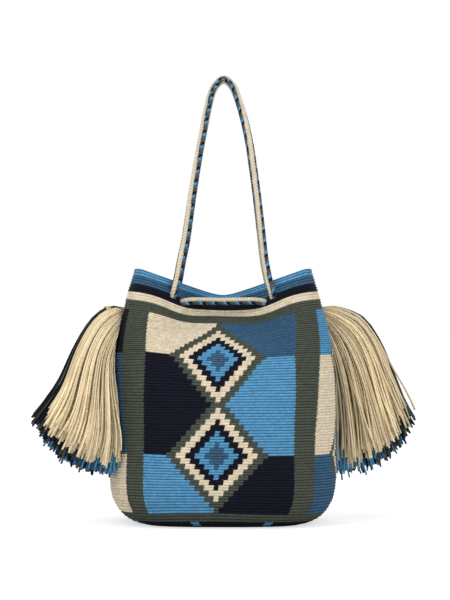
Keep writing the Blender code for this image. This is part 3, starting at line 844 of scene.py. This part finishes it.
# %% [markdown]
# A tassel is some hundreds of cut strands of twisted yarn. They leave the neck together,
# spread like a fountain and fall. Hair would be quick to make, but a library part needs real
# faces, so every strand is a thin tube with its own path. The path keeps its place in a fan
# between an outer and an inner edge. Cream hangs in front, and the four dark and blue colours
# mix behind it and end a little lower. Where the fan would be in the wall, its strands lie on
# the wall instead. The right tassel is the looser of the two.

# %% Paths of the strands
FANS = {
    "left": (((-11, 5), (0, 7), (10, 6), (25, -5), (42, -31), (58, -68), (74, -90), (88, -107)),
             ((-11, -9), (-10, -18), (-2, -56), (-6, -81), (-15, -110), (-22, -133), (-25, -167))),
    "right": (((-7, 5), (8, 7), (24, 4), (42, -4), (60, -27), (77, -65), (94, -99), (101, -111)),
              ((-7, -9), (-5, -16), (4, -55), (7, -107), (1, -173)))}
HALF_DEPTHS = ((0, 5), (0.06, 8.8), (0.12, 12), (0.2, 20), (0.35, 30), (0.5, 38), (0.7, 44),
               (1.1, 46))
BULGE = 26 * MM
LOOSENESS = {"left": 2.6, "right": 4.2}
CREAM_COUNTS = {"left": 280, "right": 200}
SHARES = (("cream", 12, 168, 0), ("sky", 155, 330, 130), ("denim", 180, 350, 125),
          ("grey", 200, 375, 125), ("navy", 215, 395, 130))
STRAND_RADIUS = 1.05 * MM
STRAND_STEPS = 14
STRAND_SIDES = 5
WALL_ROWS = np.arange(8, ROWS + 1, 3)
WALL_LEVELS = np.array([BODY_HEIGHT * smooth_value(HEIGHTS, row) for row in WALL_ROWS])
WALL_WIDTHS = np.array([quarter_section(float(row))[3] for row in WALL_ROWS])
WALL_DEPTHS = np.array([quarter_section(float(row))[1][0] for row in WALL_ROWS])
WALL_POWERS = np.array([3 + 2 * smooth_value(SQUARING, row) for row in WALL_ROWS])


def even_line(corners, count):
    """An edge of the fan, as evenly spaced points of (outwards, up)."""
    path, _ = smooth_path([(out * MM, up * MM, 0) for out, up in corners], count)
    return path[:, :2]


def clear_of_wall(points, gap):
    """Move points that would be in the wall straight out of it, to lie on its outside."""
    width = np.interp(points[:, 2], WALL_LEVELS, WALL_WIDTHS) + gap
    depth = np.interp(points[:, 2], WALL_LEVELS, WALL_DEPTHS) + gap
    power = np.interp(points[:, 2], WALL_LEVELS, WALL_POWERS)
    reach = ((np.abs(points[:, 0]) / width)**power + (np.abs(points[:, 1]) / depth)**power)
    points[:, :2] *= np.maximum(1, reach**(-1 / power))[:, None]
    return points


FAN_LINES = {hand: [even_line(line, 101) for line in lines] for hand, lines in FANS.items()}
for hand, lines in FAN_LINES.items():
    print(hand, "tassel reaches", round(lines[0][-1, 0] / MM), "mm outwards")


def strand_path(hand, share, angle, axes, end, chance):
    """One strand: it keeps its place in the fan all the way down, with a little play."""
    pivot, outward, sideways = axes
    along = np.linspace(0, end, 26)
    fan = (share * math.cos(angle) + 1) / 2
    at = along.clip(0, 1) * 100
    outer, inner = [np.stack([np.interp(at, np.arange(101), line[:, axis]) for axis in (0, 1)])
                    for line in FAN_LINES[hand]]
    place = inner * (1 - fan) + outer * fan
    bulge = BULGE * along**2 * 4 * fan * (1 - fan)
    up = place[1] - 0.86 * bulge - (along - 1).clip(0, 1) * 170 * MM
    depth = np.interp(along, [row[0] for row in HALF_DEPTHS], [row[1] for row in HALF_DEPTHS])
    side = share * math.sin(angle) * depth * MM
    seen_out = place[0] + 0.5 * bulge
    turned = math.copysign(1, outward[0]) * side * sideways[0]
    behind = hand == "left" and math.sin(angle) < 0
    out = (seen_out - turned * (fan if behind else 1)) / abs(outward[0])
    if behind:
        out = np.maximum(out, (8 * np.minimum(1, along * 1.3) - 1.5) * MM)
    sway, beat = chance.normal(0, 1, 3), chance.uniform(0, 2 * math.pi, 3)
    reach = along**1.5 * LOOSENESS[hand] * MM
    play = [reach * sway[axis] * np.sin(along * 6 + beat[axis]) for axis in range(3)]
    corners = (pivot + outward * (out + play[0])[:, None] + sideways * (side + play[1])[:, None]
               + UP * (up + play[2])[:, None])
    gap = 0.7 + chance.uniform(1.5, 5.3) * np.minimum(1, along * 4)
    corners = clear_of_wall(corners, gap * MM)
    path, _ = smooth_path(corners, STRAND_STEPS + 1)
    return path


# %% [markdown]
# The strand itself is a small grid, rolled into a tube of five sides. It is made once, and its
# copies differ in path, thickness and tone, and those further back in the tassel are painted
# darker as shade. All strands of a colour are one mesh, because separate ones would be
# hundreds of pieces that always move together.


# %% One strand, copied
def strand_template():
    """The grid of one strand: where its points belong, its faces and its UV map."""
    piece, column, row = add_grid("strand", STRAND_SIDES, STRAND_STEPS)
    faces = [tuple(face.vertices) for face in piece.data.polygons]
    uv, _ = corner_places(piece)
    bpy.data.objects.remove(piece, do_unlink=True)
    return column, row, faces, uv


STRAND = strand_template()


def strand_bundle(name, colour, paths, depths_for_painted_shade, chance):
    """One mesh for all the strands of a colour, each with its own path, thickness and tone, and
    painted shade deeper in the tassel.
    """
    column, row, faces, uv = STRAND
    angle = column / STRAND_SIDES * 2 * math.pi
    all_points, all_faces, shades = [], [], []
    start = 0
    for path, depth in zip(paths, depths_for_painted_shade):
        sides, others = path_frames(path, (0, 1, 0))
        thickness = np.interp(np.arange(len(path)), [0, 3, len(path) - 1], [0.45, 0.9, 1.0])
        radius = STRAND_RADIUS * thickness * chance.uniform(0.85, 1.12)
        offset = (sides[row] * np.cos(angle)[:, None] + others[row] * np.sin(angle)[:, None])
        all_points.append(path[row] + offset * radius[row][:, None])
        all_faces += [tuple(index + start for index in face) for face in faces]
        # A random tone for each strand, times painted shade: strands deeper in the tassel are
        # darker.
        shades.append(np.full(len(uv), chance.normal(1, 0.13) * (0.78 + 0.32 * depth)))
        start += len(column)
    mesh = bpy.data.meshes.new(name)
    mesh.from_pydata(np.vstack(all_points).tolist(), [], all_faces)
    layer = mesh.uv_layers.new(name="UVMap")
    layer.data.foreach_set("uv", np.tile(uv, (len(paths), 1)).ravel())
    piece = bpy.data.objects.new(name, mesh)
    bpy.context.scene.collection.objects.link(piece)
    paint(piece, np.array(STRAND_YARNS[colour]) * np.concatenate(shades)[:, None])
    close_skin(piece, near=1e-7)
    return piece


STRAND_FINISH = yarn_finish("twisted strand", plies=(2.0, 60.0), bump=0.7, distance=0.0005,
                            drift=0.35)
chance = np.random.default_rng(11)
for hand, sign in (("left", -1), ("right", 1)):
    axes = tassel_axes(sign)
    for colour, low, high, count in SHARES:
        paths, depths_for_painted_shade = [], []
        for _ in range(CREAM_COUNTS[hand] if colour == "cream" else count):
            angle = math.radians(chance.uniform(low, high))
            share = 0.97 * chance.uniform(0.02, 1)**0.5
            end = chance.uniform(0.84, 0.94) if colour == "cream" else chance.uniform(0.94, 1.0)
            paths.append(strand_path(hand, share, angle, axes, end, chance))
            depths_for_painted_shade.append(share * math.sin(angle) if colour == "cream" else 0.9)
        name = hand + "_" + colour + "_yarns"
        piece = strand_bundle(name, colour, paths, depths_for_painted_shade, chance)
        finish_piece(piece, STRAND_FINISH, hand + "_tassel",
                     [hand + "_" + colour + "_strands"])

# %% [markdown]
# The bag stands on a plain pale floor in soft studio light. The floor and the world look white
# to the camera, and the floor still takes the bag's shadow. The floor glows a little only for
# the camera, so that it doesn't light the bag from below.

# %% Floor and light
bpy.ops.mesh.primitive_plane_add(size=30, location=(0, 0, 0))
floor = bpy.context.object
floor.name = "floor"
floor_finish = bpy.data.materials.new("pale floor")
floor_finish.use_nodes = True
tree = floor_finish.node_tree
lit = tree.nodes["Principled BSDF"]
lit.inputs["Base Color"].default_value = (0.82, 0.82, 0.82, 1)
lit.inputs["Roughness"].default_value = 0.8
shaded = tree.nodes.new("ShaderNodeBsdfDiffuse")
shaded.inputs["Color"].default_value = (0.56, 0.56, 0.56, 1)
glow = tree.nodes.new("ShaderNodeEmission")
glow.inputs["Strength"].default_value = 0.64
bright = tree.nodes.new("ShaderNodeAddShader")
tree.links.new(shaded.outputs[0], bright.inputs[0])
tree.links.new(glow.outputs[0], bright.inputs[1])
rays = tree.nodes.new("ShaderNodeLightPath")
choice = tree.nodes.new("ShaderNodeMixShader")
tree.links.new(rays.outputs["Is Camera Ray"], choice.inputs[0])
tree.links.new(lit.outputs[0], choice.inputs[1])
tree.links.new(bright.outputs[0], choice.inputs[2])
tree.links.new(choice.outputs[0], tree.nodes["Material Output"].inputs[0])
floor.data.materials.append(floor_finish)

world = bpy.data.worlds.new("studio")
bpy.context.scene.world = world
world.use_nodes = True
tree = world.node_tree
back = tree.nodes["Background"]
back.inputs["Color"].default_value = (1, 1, 1, 1)
back.inputs["Strength"].default_value = 0.82
seen = tree.nodes.new("ShaderNodeBackground")
seen.inputs["Color"].default_value = (1, 1, 1, 1)
seen.inputs["Strength"].default_value = 1.0
rays = tree.nodes.new("ShaderNodeLightPath")
camera_or_gloss = math_node(tree, "MAXIMUM", rays.outputs["Is Camera Ray"],
                            rays.outputs["Is Glossy Ray"])
choice = tree.nodes.new("ShaderNodeMixShader")
tree.links.new(camera_or_gloss, choice.inputs[0])
tree.links.new(back.outputs[0], choice.inputs[1])
tree.links.new(seen.outputs[0], choice.inputs[2])
tree.links.new(choice.outputs[0], tree.nodes["World Output"].inputs[0])


def soft_lamp(name, place, target, size, power):
    bpy.ops.object.light_add(type="AREA", location=place)
    lamp = bpy.context.object
    lamp.name = name
    lamp.data.shape = "DISK"
    lamp.data.size = size
    lamp.data.energy = power
    direction = np.array(target) - np.array(place)
    lamp.rotation_euler = (math.acos(-direction[2] / np.linalg.norm(direction)), 0,
                           math.atan2(direction[1], direction[0]) - math.pi / 2)
    return lamp


soft_lamp("key_lamp", (-1.0, -1.8, 1.7), (0, 0, 0.18), 1.0, 15)
soft_lamp("fill_lamp", (1.4, -1.6, 0.9), (0, 0, 0.18), 1.2, 5)
bpy.context.scene.view_settings.view_transform = "Standard"
